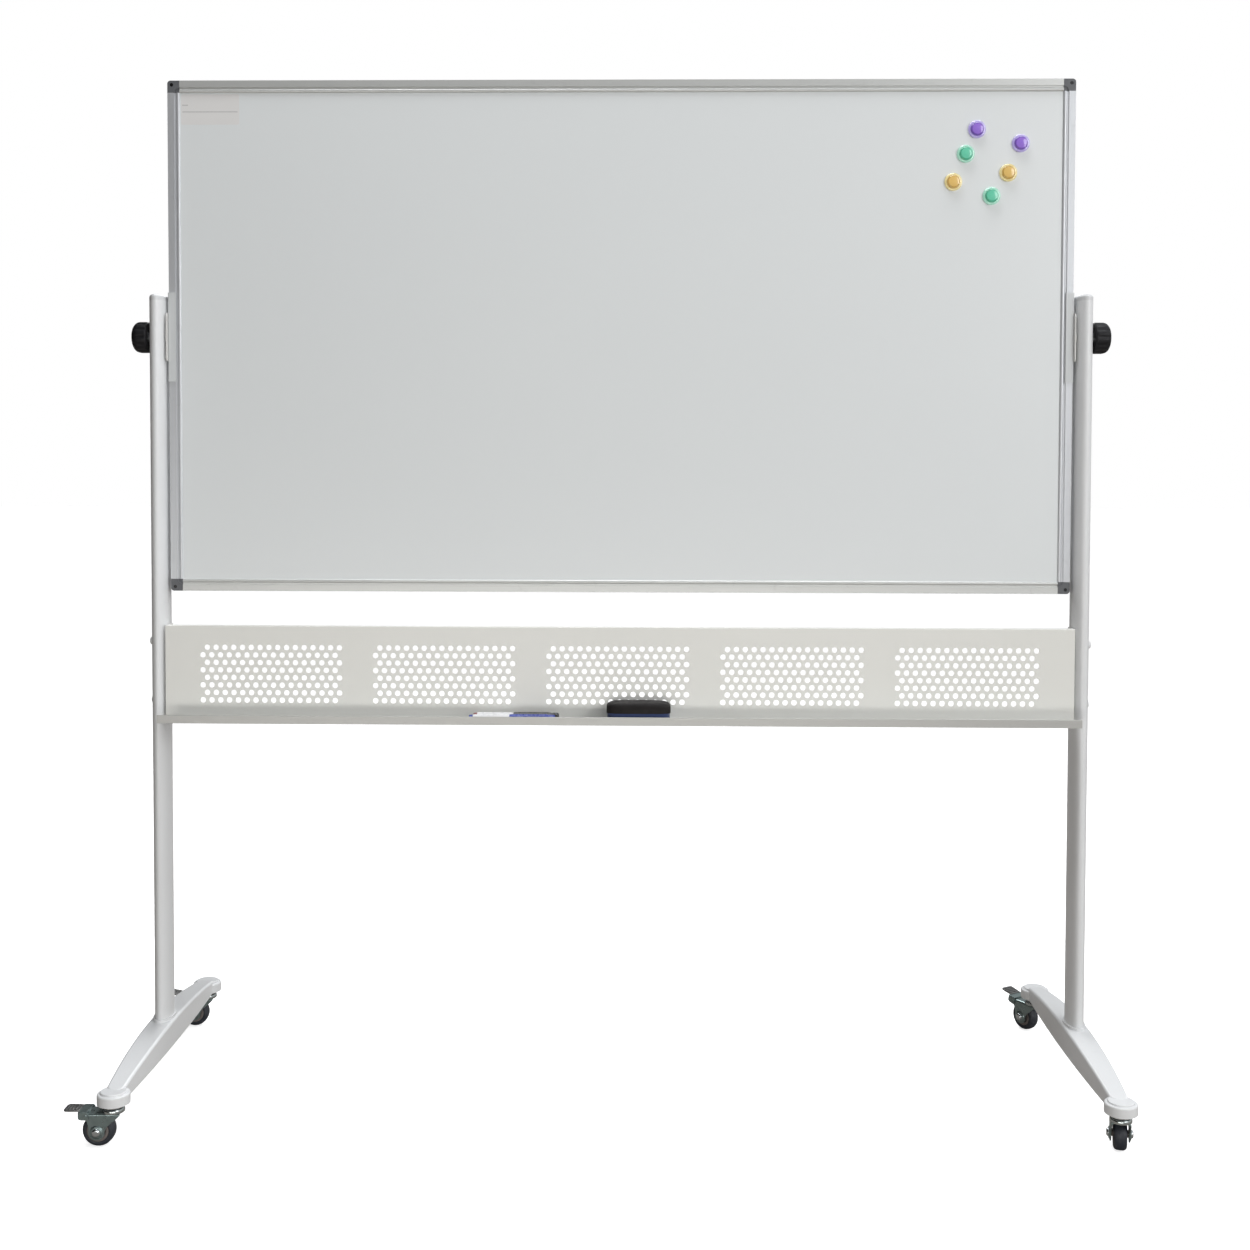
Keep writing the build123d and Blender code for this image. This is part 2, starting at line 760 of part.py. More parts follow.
def marker(start_x, y):
    """Capped marker lying on the shelf, with its cap to the right."""
    axis_z = shelf_top + marker_cap_radius + 0.05
    barrel_end = marker_length - marker_cap_length
    pen = rod((0, 0, 0), (barrel_end + 1, 0, 0), marker_radius, "x")
    pen = fillet(pen.edges().sort_by(Axis.X)[:1], 1.5)
    cap = rod((barrel_end, 0, 0), (marker_length, 0, 0), marker_cap_radius, "x")
    cap = fillet(cap.edges().sort_by(Axis.X)[-1:], 2.0)
    return Pos(start_x, y, axis_z) * (pen + cap)


# ---------------------------------------------------------------- nodes

def all_parts():
    parts = {
        "frame_top": frame_top(),
        "frame_bottom": frame_bottom(),
        "frame_left": frame_side(-1),
        "frame_right": frame_side(1),
        "corner_pieces": corner_pieces(),
        "board_screws": board_screws(),
        "front_sheet": front_sheet(),
        "back_sheet": back_sheet(),
        "board_core": board_core(),
        "side_brackets": side_brackets(),
        "pivot_plates": pivot_plates(),
        "pivot_nuts": pivot_nuts(),
        "knob_washers": knob_washers(),
        "post_plugs": post_plugs(),
        "foot_bolts": foot_bolts(),
        "perforated_panel": perforated_panel(),
        "panel_flanges": panel_flanges(),
        "pen_tray": pen_tray(),
        "panel_bolts": panel_bolts(),
        "caster_stems": caster_stems(),
        "eraser_grip": eraser_grip(),
        "eraser_felt": eraser_felt(),
    }
    for side, word in ((-1, "left"), (1, "right")):
        parts[f"{word}_post"] = post(side)
        parts[f"{word}_post_cap"] = post_cap(side)
        parts[f"{word}_foot"] = foot(side)
        parts[f"{word}_knob"] = knob(side)
        parts[f"{word}_knob_stud"] = knob_stud(side)
    for name in caster_headings:
        parts[f"{name}_fork"] = place_caster(caster_fork(), name)
        parts[f"{name}_axle"] = place_caster(caster_axle(), name)
        parts[f"{name}_hub"] = place_caster(wheel_hub(), name)
        parts[f"{name}_tyre"] = place_caster(wheel_tyre(), name)
        lift = 0 if name in brakes_on else lever_travel
        parts[f"{name}_brake_lever"] = place_caster(brake_lever(lift), name)
    for name, (x, z) in magnets.items():
        parts[name] = magnet(x, z)
    for name, (start_x, y) in markers.items():
        parts[name] = marker(start_x, y)
    return parts


def write_parts():
    os.makedirs("parts", exist_ok=True)
    for name, shape in all_parts().items():
        pieces = shape if isinstance(shape, list) else [shape]
        solids = [solid for piece in pieces for solid in piece.solids()]
        whole = solids[0] if len(solids) == 1 else Compound(solids)
        export_step(whole, f"parts/{name}.step")


write_parts()
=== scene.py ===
import json
import math

import bmesh
import bpy
from mathutils import Matrix, Vector


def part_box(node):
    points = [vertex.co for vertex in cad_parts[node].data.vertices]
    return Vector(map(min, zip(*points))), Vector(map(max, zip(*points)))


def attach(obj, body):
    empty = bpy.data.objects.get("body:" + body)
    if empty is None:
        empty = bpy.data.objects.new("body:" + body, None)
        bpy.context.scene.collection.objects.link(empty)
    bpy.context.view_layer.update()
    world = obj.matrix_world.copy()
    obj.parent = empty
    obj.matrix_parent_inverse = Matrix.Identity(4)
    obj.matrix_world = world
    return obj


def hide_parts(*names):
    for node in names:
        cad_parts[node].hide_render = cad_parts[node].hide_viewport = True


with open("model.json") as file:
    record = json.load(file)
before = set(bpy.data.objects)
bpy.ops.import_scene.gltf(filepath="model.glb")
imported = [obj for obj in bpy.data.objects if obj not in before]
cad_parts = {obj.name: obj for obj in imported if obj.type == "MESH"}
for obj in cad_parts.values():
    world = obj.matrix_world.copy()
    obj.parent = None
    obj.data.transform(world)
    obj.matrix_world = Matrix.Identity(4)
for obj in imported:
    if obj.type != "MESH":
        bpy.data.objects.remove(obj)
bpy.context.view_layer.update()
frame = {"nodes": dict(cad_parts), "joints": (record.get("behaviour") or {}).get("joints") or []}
nodes = frame["nodes"]
joints = {joint["name"]: joint for joint in frame["joints"]}
MM = 0.001
CASTERS = ("front_left", "front_right", "rear_left", "rear_right")
MAGNETS = [name for name in nodes if "_magnet_" in name]

# Caster sizes in millimetres, in a frame with the swivel axis up and the wheel towards -X
TRAIL = 22.0
AXLE_HEIGHT = 25.0
WHEEL_HALF = 10.0
TYRE_DEPTH = 8.0
HUB_RIBS = 6
FORK_OUTER = 15.0
FORK_SHEET = 2.0
CROWN_TOP = 54.0
CHEEK_END = 12.5
LEVER_PIVOT = (-38.0, 0.0, 50.0)
TREAD_RIBS = 4

# Knobs, in millimetres; the flutes' depth is a share of the radius
KNOB_STRAIGHT = 15.0
KNOB_NOSE = 14.0
KNOB_FLUTES = 12
FLUTE_DEPTH = 0.05
FLUTE_START = 1.5
FLUTE_FADES = (2.5, 8.0)

# Magnets, in millimetres; the face is a shallow dome set in the grip
GRIP_INSET = 0.7
FACE_RADIUS = 8.5
FACE_DOME = 0.6

# Markers, in millimetres; the seam is a share of the length and the ridges' depth of the radius
BARREL_RADIUS = 6.3
SEAM_SHARE = 0.47
CAP_RIDGES = 24
RIDGE_DEPTH = 0.018

# Eraser: how far its handle draws in at the top, and its long sides near half height, as shares
HANDLE_CROWN = 0.34
WAIST = 0.035

# Radius in millimetres of the small flat that closes the end of a turned solid
CORE = 0.3

# Sticker, in millimetres; its marks are (height, half thickness, start, end) as shares of its size
LABEL_INSET = (17.0, 17.0)
LABEL_SIZE = (97.0, 50.0)
LABEL_CORNER = 3.0
LABEL_BACK = 0.01
LABEL_FRONT = -0.12
LABEL_MARKS = ((0.42, 0.018, 0.02, 0.97), (0.64, 0.020, 0.02, 0.12))

# Camera: place in metres, angles in degrees, sensor and lens in millimetres
CAMERA_PLACE = (0.0376, -2.5915, 1.0393)
CAMERA_DOWN = 2.0206
CAMERA_TURN = 1.0614
CAMERA_ROLL = 0.136
SENSOR_WIDTH = 36.0
LENS = 44.644
LENS_SHIFT = (0.0104, -0.0808)

# Studio: tones of the surroundings from -X to +X, and lights as name, place, target, size, power
# and colour
WORLD_TONES = (
    (0.0, (0.02, 0.017, 0.016, 1)),
    (0.38, (0.08, 0.073, 0.07, 1)),
    (0.50, (0.50, 0.51, 0.52, 1)),
    (0.75, (0.85, 0.87, 0.88, 1)),
    (1.0, (1.0, 1.0, 1.0, 1)),
)
WORLD_STRENGTH = 0.76
FLOOR_GLOW = 0.72
FLOOR_SIZE = 80.0
FLOOR_GAP = 0.0005
SEEN_TONE = (0.9, 0.9, 0.9)
LIT_TONE = (0.30, 0.275, 0.25)
LIGHTS = (
    ("key", (2.6, -2.6, 1.9), (0.3, 0.0, 0.9), (1.8, 1.8), 43, (1.0, 1.0, 1.0)),
    ("overhead", (0.3, -0.40, 4.0), (0.2, -0.1, 0.1), (3.0, 0.8), 70, (0.97, 0.985, 1.0)),
    ("low_fill", (-0.4, -3.2, 0.25), (-0.2, 0.0, 0.7), (3.0, 0.5), 26, (1.0, 0.985, 0.95)),
    ("rear", (-0.4, 2.8, 3.2), (0.0, 0.0, 0.8), (2.0, 1.4), 64, (1.0, 1.0, 1.0)),
)


# ------------------------------------------------------------------ shader helpers

# Sockets of the Mix node that hold colours
MIX_FIRST, MIX_SECOND, MIX_RESULT = 6, 7, 2


class Finish:
    """A material under construction: a Principled shader and the textures that feed it."""

    def __init__(self, name, colour, roughness, metallic=0.0, **sockets):
        self.material = bpy.data.materials.new(name)
        self.material.use_nodes = True
        self.tree = self.material.node_tree
        self.shader = self.tree.nodes["Principled BSDF"]
        self.shader.inputs["Base Color"].default_value = (*colour, 1.0)
        self.shader.inputs["Roughness"].default_value = roughness
        self.shader.inputs["Metallic"].default_value = metallic
        for socket, value in sockets.items():
            title = socket.replace("_", " ").title().replace("Ior", "IOR")
            self.shader.inputs[title].default_value = value
        self.coordinates = self.tree.nodes.new("ShaderNodeTexCoord").outputs["Object"]

    def node(self, kind, **settings):
        made = self.tree.nodes.new(kind)
        for key, value in settings.items():
            setattr(made, key, value)
        return made

    def link(self, output, target):
        self.tree.links.new(output, target)

    def noise(self, scale, stretch=(1, 1, 1), detail=3.0, distortion=0.0):
        """Noise in object space; scale is features per metre, stretch lengthens them on an axis."""
        mapping = self.node("ShaderNodeMapping")
        mapping.inputs["Scale"].default_value = [1.0 / s for s in stretch]
        self.link(self.coordinates, mapping.inputs["Vector"])
        texture = self.node("ShaderNodeTexNoise")
        texture.inputs["Scale"].default_value = scale
        texture.inputs["Detail"].default_value = detail
        texture.inputs["Distortion"].default_value = distortion
        self.link(mapping.outputs["Vector"], texture.inputs["Vector"])
        return texture.outputs["Fac"]

    def remap(self, value, low, high, to_low, to_high):
        made = self.node("ShaderNodeMapRange")
        limits = {"From Min": low, "From Max": high, "To Min": to_low, "To Max": to_high}
        for socket, number in limits.items():
            made.inputs[socket].default_value = number
        self.link(value, made.inputs["Value"])
        return made.outputs["Result"]

    def maths(self, operation, first, second):
        made = self.node("ShaderNodeMath", operation=operation)
        for index, value in enumerate((first, second)):
            if isinstance(value, (int, float)):
                made.inputs[index].default_value = value
            else:
                self.link(value, made.inputs[index])
        return made.outputs["Value"]

    def axis(self, letter):
        """One coordinate in metres."""
        made = self.node("ShaderNodeSeparateXYZ")
        self.link(self.coordinates, made.inputs["Vector"])
        return made.outputs[letter]

    def colour(self, amount, first, second):
        """Base colour mixed from first to second by amount."""
        made = self.node("ShaderNodeMix", data_type="RGBA")
        self.link(amount, made.inputs["Factor"])
        made.inputs[MIX_FIRST].default_value = (*first, 1.0)
        made.inputs[MIX_SECOND].default_value = (*second, 1.0)
        self.link(made.outputs[MIX_RESULT], self.shader.inputs["Base Color"])

    def roughness(self, amount, low, high):
        """Roughness from low to high over the middle of a noise's range."""
        self.link(self.remap(amount, 0.3, 0.7, low, high), self.shader.inputs["Roughness"])

    def bump(self, height, distance, strength):
        """Relief from a texture; distance is the height in metres of its full step."""
        made = self.node("ShaderNodeBump")
        made.inputs["Strength"].default_value = strength
        made.inputs["Distance"].default_value = distance
        self.link(height, made.inputs["Height"])
        self.link(made.outputs["Normal"], self.shader.inputs["Normal"])


# ------------------------------------------------------------------ materials

def powder_coat(name, colour, shade):
    """Sprayed powder coat: orange-peel relief, a soft sheen and faint scuffs near the floor."""
    finish = Finish(name, colour, 0.38, coat_weight=0.15, coat_roughness=0.25)
    scuffs = finish.remap(finish.noise(46, (1, 1, 2.5), 6.0, 0.6), 0.60, 0.74, 0.0, 1.0)
    low_down = finish.remap(finish.axis("Z"), 0.05, 0.30, 0.35, 0.0)
    cloud = finish.remap(finish.noise(3.5, detail=2.0), 0.3, 0.7, 0.0, 0.25)
    finish.colour(finish.maths("ADD", finish.maths("MULTIPLY", scuffs, low_down), cloud), colour, shade)
    finish.roughness(finish.noise(120, detail=2.0), 0.33, 0.45)
    finish.bump(finish.noise(900, detail=1.0), 0.00004, 0.6)
    return finish.material


def writing_surface():
    """White lacquer on steel, very slightly uneven in tone and gloss."""
    light = (0.785, 0.815, 0.825)
    finish = Finish("writing_lacquer", light, 0.34, coat_weight=0.3, coat_roughness=0.14)
    cloud = finish.remap(finish.noise(1.1, detail=1.0), 0.3, 0.7, 0.0, 1.0)
    finish.colour(cloud, light, (0.77, 0.80, 0.812))
    finish.roughness(finish.noise(6, detail=1.0), 0.31, 0.36)
    finish.bump(finish.noise(420, detail=1.0), 0.00001, 0.3)
    return finish.material


def anodised(name, along, tone, metallic=0.8):
    """Satin anodised aluminium with die lines along the extrusion and small handling marks."""
    finish = Finish(name, tone, 0.36, metallic)
    stretch = tuple(60.0 if axis == along else 1.0 for axis in "XYZ")
    lines = finish.noise(1900, stretch, 2.0)
    marks = finish.remap(finish.noise(60, detail=5.0, distortion=1.0), 0.62, 0.78, 0.0, 1.0)
    darker = tuple(0.86 * channel for channel in tone)
    finish.colour(finish.maths("MULTIPLY", marks, 0.6), tone, darker)
    finish.roughness(lines, 0.36, 0.48)
    finish.bump(lines, 0.00002, 0.35)
    return finish.material


def moulded(name, colour, shade, roughness, grain=1400.0, depth=0.00003, **sockets):
    """Moulded plastic with a fine spark-eroded grain and a slight unevenness of gloss."""
    finish = Finish(name, colour, roughness, **sockets)
    finish.colour(finish.remap(finish.noise(38, detail=4.0), 0.35, 0.7, 0.0, 1.0), colour, shade)
    finish.roughness(finish.noise(160, detail=3.0), roughness - 0.05, roughness + 0.07)
    finish.bump(finish.noise(grain, detail=2.0), depth, 0.6)
    return finish.material


def zinc(name, tone, roughness, metallic=1.0):
    """Plated metal: soft clouding and fine draw marks."""
    finish = Finish(name, tone, roughness, metallic)
    dulled = finish.remap(finish.noise(70, detail=4.0, distortion=0.8), 0.45, 0.72, 0.0, 0.5)
    darker = tuple(0.74 * channel for channel in tone)
    finish.colour(dulled, tone, darker)
    finish.roughness(finish.noise(210, detail=3.0), roughness - 0.05, roughness + 0.07)
    finish.bump(finish.noise(420, (1, 1, 5), 2.0), 0.00001, 0.25)
    return finish.material


def rubber():
    """Dark thermoplastic tyre: dull, with a little dust in patches."""
    dark, dusty = (0.022, 0.026, 0.036), (0.07, 0.074, 0.082)
    finish = Finish("tyre_rubber", dark, 0.5)
    dust = finish.remap(finish.noise(150, detail=6.0, distortion=0.4), 0.50, 0.80, 0.0, 0.5)
    finish.colour(dust, dark, dusty)
    finish.roughness(finish.noise(90, detail=3.0), 0.42, 0.60)
    finish.bump(finish.noise(1100, detail=3.0), 0.00005, 0.5)
    return finish.material


def clear_plastic_painted_glow(name, colour, deep, glow):
    """Translucent moulded plastic with a painted glow: it emits light of its own colour though it is no
    lamp.
    """
    finish = Finish(name, colour, 0.16, transmission_weight=0.35, coat_weight=1.0, coat_roughness=0.04)
    # Painted glow: emission in the plastic's own colour stands in for light shining through it.
    finish.shader.inputs["Emission Color"].default_value = (*colour, 1.0)
    finish.shader.inputs["Emission Strength"].default_value = glow
    finish.colour(finish.remap(finish.noise(120, detail=3.0), 0.35, 0.7, 0.0, 1.0), colour, deep)
    finish.roughness(finish.noise(260, detail=2.0), 0.12, 0.22)
    finish.bump(finish.noise(300, detail=1.0), 0.00002, 0.4)
    return finish.material


def felt(name, colour, shade):
    """Dense felt: matted fibres with a soft sheen."""
    finish = Finish(name, colour, 0.95, sheen_weight=0.5, sheen_roughness=0.5)
    fibres = finish.noise(1300, (1, 1, 0.5), 6.0, 2.5)
    finish.colour(finish.remap(fibres, 0.35, 0.68, 0.0, 1.0), colour, shade)
    finish.bump(fibres, 0.0004, 0.9)
    return finish.material


def fibre_board():
    """Raw fibre board of the board's core."""
    pale, brown = (0.60, 0.50, 0.37), (0.44, 0.35, 0.25)
    finish = Finish("core_board", pale, 0.85)
    finish.colour(finish.noise(500, (3, 1, 1), 5.0), pale, brown)
    finish.bump(finish.noise(900, detail=4.0), 0.0002, 0.6)
    return finish.material


def sticker_paper():
    """Blank satin sticker with one thin grey rule across it and a short mark above the rule."""
    low, high = label_corners()
    paper, ink = (0.765, 0.76, 0.755), (0.42, 0.42, 0.42)
    finish = Finish("label_film", paper, 0.4)
    height = finish.remap(finish.axis("Z"), low.z, high.z, 0.0, 1.0)
    across = finish.remap(finish.axis("X"), low.x, high.x, 0.0, 1.0)
    marks = None
    for centre, half, start, end in LABEL_MARKS:
        away = finish.maths("ABSOLUTE", finish.maths("SUBTRACT", height, centre), 0.0)
        along = finish.maths("MULTIPLY", finish.maths("GREATER_THAN", across, start),
                             finish.maths("LESS_THAN", across, end))
        mark = finish.maths("MULTIPLY", finish.maths("LESS_THAN", away, half), along)
        marks = mark if marks is None else finish.maths("ADD", marks, mark)
    wear = finish.remap(finish.noise(700, detail=2.0), 0.3, 0.7, 0.45, 0.75)
    finish.colour(finish.maths("MULTIPLY", marks, wear), paper, ink)
    finish.roughness(finish.noise(300, detail=1.0), 0.36, 0.46)
    finish.bump(finish.noise(800, detail=1.0), 0.00001, 0.3)
    return finish.material


def label_corners():
    """The sticker's corners: near the top left corner of the front sheet."""
    low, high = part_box("front_sheet")
    left = low.x + LABEL_INSET[0] * MM
    top = high.z - LABEL_INSET[1] * MM
    width, height = (size * MM for size in LABEL_SIZE)
    return Vector((left, low.y, top - height)), Vector((left + width, low.y, top))


def make_materials():
    """Every finish of the object, by a short name."""
    return {
        "white": powder_coat("white_powder_coat", (0.765, 0.777, 0.79), (0.68, 0.687, 0.69)),
        "panel": powder_coat("panel_coat", (0.80, 0.80, 0.765), (0.74, 0.74, 0.70)),
        "bracket": powder_coat("bracket_coat", (0.62, 0.64, 0.65), (0.55, 0.56, 0.57)),
        "lacquer": writing_surface(),
        "bar_across": anodised("aluminium_across", "X", (0.61, 0.62, 0.61), 0.5),
        "bar_upright": anodised("aluminium_upright", "Z", (0.60, 0.615, 0.64), 0.55),
        "tray": anodised("tray_aluminium", "X", (0.47, 0.47, 0.455), 0.35),
        "corner": moulded("corner_plastic", (0.125, 0.13, 0.14), (0.105, 0.11, 0.12), 0.42),
        "cap": moulded("cap_plastic", (0.68, 0.69, 0.705), (0.64, 0.65, 0.66), 0.36),
        "black": moulded("black_plastic", (0.005, 0.005, 0.007), (0.009, 0.009, 0.011), 0.50,
                         specular_ior_level=0.3),
        "handle": moulded("eraser_handle", (0.011, 0.0095, 0.0095), (0.018, 0.016, 0.016), 0.60,
                          specular_ior_level=0.2),
        "screw": zinc("black_screws", (0.05, 0.05, 0.052), 0.35),
        "wheel": moulded("wheel_plastic", (0.19, 0.165, 0.155), (0.14, 0.125, 0.12), 0.48),
        "rubber": rubber(),
        "zinc": zinc("zinc_pressing", (0.25, 0.31, 0.31), 0.31, 0.9),
        "dome": zinc("dome_zinc", (0.46, 0.50, 0.50), 0.16),
        "bolt": zinc("bolt_zinc", (0.62, 0.65, 0.67), 0.16),
        "plate": powder_coat("plate_coat", (0.72, 0.72, 0.70), (0.64, 0.64, 0.62)),
        "lever": zinc("lever_steel", (0.22, 0.22, 0.22), 0.30, 0.9),
        "core": fibre_board(),
        # Magnet plastics: each carries a painted glow, and each _face colour is a lighter copy of its grip
        # colour, a painted highlight for the lit front face.
        "purple": clear_plastic_painted_glow("purple_plastic", (0.20, 0.09, 0.50), (0.17, 0.07, 0.46), 0.14),
        "purple_face": clear_plastic_painted_glow("purple_face", (0.34, 0.18, 0.70), (0.30, 0.15, 0.66), 0.20),
        "purple_rim": clear_plastic_painted_glow("purple_rim", (0.52, 0.46, 0.76), (0.46, 0.39, 0.74), 0.20),
        "green": clear_plastic_painted_glow("green_plastic", (0.08, 0.49, 0.31), (0.06, 0.44, 0.27), 0.14),
        "green_face": clear_plastic_painted_glow("green_face", (0.16, 0.64, 0.45), (0.13, 0.60, 0.41), 0.20),
        "green_rim": clear_plastic_painted_glow("green_rim", (0.46, 0.76, 0.64), (0.40, 0.72, 0.58), 0.20),
        "yellow": clear_plastic_painted_glow("yellow_plastic", (0.63, 0.41, 0.09), (0.58, 0.37, 0.07), 0.14),
        "yellow_face": clear_plastic_painted_glow("yellow_face", (0.77, 0.55, 0.17), (0.74, 0.51, 0.14), 0.20),
        "yellow_rim": clear_plastic_painted_glow("yellow_rim", (0.80, 0.72, 0.40), (0.78, 0.66, 0.30), 0.20),
        "ferrite": moulded("ferrite", (0.05, 0.05, 0.055), (0.08, 0.08, 0.085), 0.55),
        "pen_white": moulded("pen_white", (0.80, 0.80, 0.81), (0.74, 0.74, 0.75), 0.28, 900.0, 0.00001),
        "pen_blue": moulded("pen_blue", (0.02, 0.05, 0.36), (0.015, 0.035, 0.26), 0.26, 900.0, 0.00001),
        "pen_black": moulded("pen_black", (0.018, 0.018, 0.02), (0.03, 0.03, 0.032), 0.26, 900.0, 0.00001),
        "pen_red": moulded("pen_red", (0.20, 0.03, 0.03), (0.15, 0.022, 0.022), 0.3, 900.0, 0.00001),
        "felt": felt("eraser_felt", (0.020, 0.040, 0.13), (0.045, 0.07, 0.19)),
        "label": sticker_paper(),
    }


# ------------------------------------------------------------------ mesh helpers

def piece(name, mesh, body, material, replaces=(), smooth_angle=32.0):
    """Adds a mesh as a piece that rides on a body, in place of CAD nodes."""
    made = bpy.data.objects.new(name, mesh)
    bpy.context.scene.collection.objects.link(made)
    mesh.materials.clear()
    mesh.materials.append(material)
    mesh.shade_smooth()
    mesh.set_sharp_from_angle(angle=math.radians(smooth_angle))
    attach(made, body)
    if replaces:
        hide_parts(*replaces)
    return made


def mesh_of(points, faces):
    """Mesh from points in metres, with its normals outward."""
    mesh = bpy.data.meshes.new("mesh")
    mesh.from_pydata([tuple(p) for p in points], [], faces)
    builder = bmesh.new()
    builder.from_mesh(mesh)
    bmesh.ops.recalc_face_normals(builder, faces=builder.faces)
    builder.to_mesh(mesh)
    builder.free()
    return mesh


def skinned(points, count):
    """Closed solid over rings of count points each, one after another, with both ends capped."""
    last = len(points) - count
    faces = [tuple(range(count - 1, -1, -1)), tuple(range(last, last + count))]
    for ring in range(0, last, count):
        for index in range(count):
            following = (index + 1) % count
            after = ring + count
            faces.append((ring + index, ring + following, after + following, after + index))
    return mesh_of(points, faces)


def lathe(profile, place, segments=96, shape=None):
    """Closed solid turned about the local X axis from (along, radius) points in millimetres."""
    points = []
    for along, radius in profile:
        for index in range(segments):
            angle = 2 * math.pi * index / segments
            reach = radius if shape is None else radius * shape(along, angle)
            spot = Vector((along, reach * math.cos(angle), reach * math.sin(angle)))
            points.append(place @ (spot * MM))
    return skinned(points, segments)


def ring_lathe(profile, place, segments=96):
    """Closed ring turned about the local X axis from a closed loop of (along, radius) points."""
    points = []
    faces = []
    count = len(profile)
    for index in range(segments):
        angle = 2 * math.pi * index / segments
        for along, radius in profile:
            spot = Vector((along, radius * math.cos(angle), radius * math.sin(angle)))
            points.append(place @ (spot * MM))
    for index in range(segments):
        following = (index + 1) % segments
        for step in range(count):
            after = (step + 1) % count
            faces.append((index * count + step, following * count + step,
                          following * count + after, index * count + after))
    return mesh_of(points, faces)


def rounded(points, radius, steps=5):
    """Open run of (along, radius) points with its inner corners rounded."""
    out = [points[0]]
    for before, corner, after in zip(points, points[1:], points[2:]):
        a, c, b = Vector(before), Vector(corner), Vector(after)
        cut = min(radius, (a - c).length * 0.49, (b - c).length * 0.49)
        start = c + (a - c).normalized() * cut
        end = c + (b - c).normalized() * cut
        for index in range(steps + 1):
            t = index / steps
            spot = start * (1 - t) ** 2 + c * 2 * t * (1 - t) + end * t ** 2
            out.append((spot.x, spot.y))
    out.append(points[-1])
    return out


def plate_solid(outline, thickness, place):
    """Flat solid from an outline in local X and Z, centred on local Y, in millimetres."""
    points = []
    for y in (-thickness / 2, thickness / 2):
        points += [place @ (Vector((x, y, z)) * MM) for x, z in outline]
    return skinned(points, len(outline))


def joined(meshes):
    """One mesh from several."""
    builder = bmesh.new()
    for mesh in meshes:
        builder.from_mesh(mesh)
    whole = bpy.data.meshes.new("joined")
    builder.to_mesh(whole)
    builder.free()
    return whole


def soften(made, width, segments=3):
    """Rounds a piece's sharp edges by a width in millimetres."""
    bevel = made.modifiers.new("edges", "BEVEL")
    bevel.width = width * MM
    bevel.segments = segments
    bevel.limit_method = "ANGLE"
    bevel.angle_limit = math.radians(35)
    bevel.harden_normals = False


def axis_frame(origin, along):
    """Frame whose local X points along a level direction."""
    x = Vector(along).normalized()
    y = Vector((0, 0, 1)).cross(x).normalized()
    z = x.cross(y)
    rotation = Matrix((x, y, z)).transposed().to_4x4()
    return Matrix.Translation(origin) @ rotation


def middle(node):
    """Centre of a node's box at rest."""
    low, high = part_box(node)
    return (low + high) / 2


# ------------------------------------------------------------------ knobs

def flute(count, depth, start, end):
    """Radial shape with shallow scallops between two places along the axis, fading at both ends."""
    def shape(along, angle):
        inside = max(0.0, min(1.0, (along - start) / FLUTE_FADES[0], (end - along) / FLUTE_FADES[1]))
        wave = (0.5 + 0.5 * math.cos(count * angle)) ** 2
        return 1.0 - depth * inside * wave
    return shape


def make_knob(side, finishes):
    """Fluted knob: straight over its grip, then crowned down to a flat nose with a shallow recess."""
    name = f"{side}_knob"
    low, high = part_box(name)
    outward = -1 if side == "left" else 1
    start = low.x if outward > 0 else high.x
    centre = middle(name)
    radius = (high.z - low.z) / 2 / MM
    depth = (high.x - low.x) / MM
    profile = rounded([(0, 0.5), (0, radius - 2.4), (2.4, radius), (KNOB_STRAIGHT, radius)], 1.6)
    for index in range(1, 9):
        turn = math.radians(90 * index / 9)
        profile.append((KNOB_STRAIGHT + (depth - KNOB_STRAIGHT) * math.sin(turn),
                        KNOB_NOSE + (radius - KNOB_NOSE) * math.cos(turn)))
    profile += [(depth, KNOB_NOSE), (depth, KNOB_NOSE - 3)]
    profile += [(depth - 0.5, KNOB_NOSE - 4), (depth - 0.5, 0.5)]
    place = axis_frame(Vector((start, centre.y, centre.z)), (outward, 0, 0))
    mesh = lathe(profile, place, 192, flute(KNOB_FLUTES, FLUTE_DEPTH, FLUTE_START, depth))
    piece(f"{side}_clamp_knob", mesh, name, finishes["black"], (name,), 40.0)


# ------------------------------------------------------------------ casters

def caster_place(name):
    """Local frame of a caster: swivel axis up, wheel trailing towards local -X."""
    swivel = Vector(joints[f"{name}_swivel_turn"]["pos_m"])
    wheel = Vector(joints[f"{name}_wheel_spin"]["pos_m"])
    ahead = Vector((swivel.x - wheel.x, swivel.y - wheel.y, 0)).normalized()
    side = Vector((0, 0, 1)).cross(ahead)
    rotation = Matrix((ahead, side, Vector((0, 0, 1)))).transposed().to_4x4()
    return Matrix.Translation((swivel.x, swivel.y, 0)) @ rotation


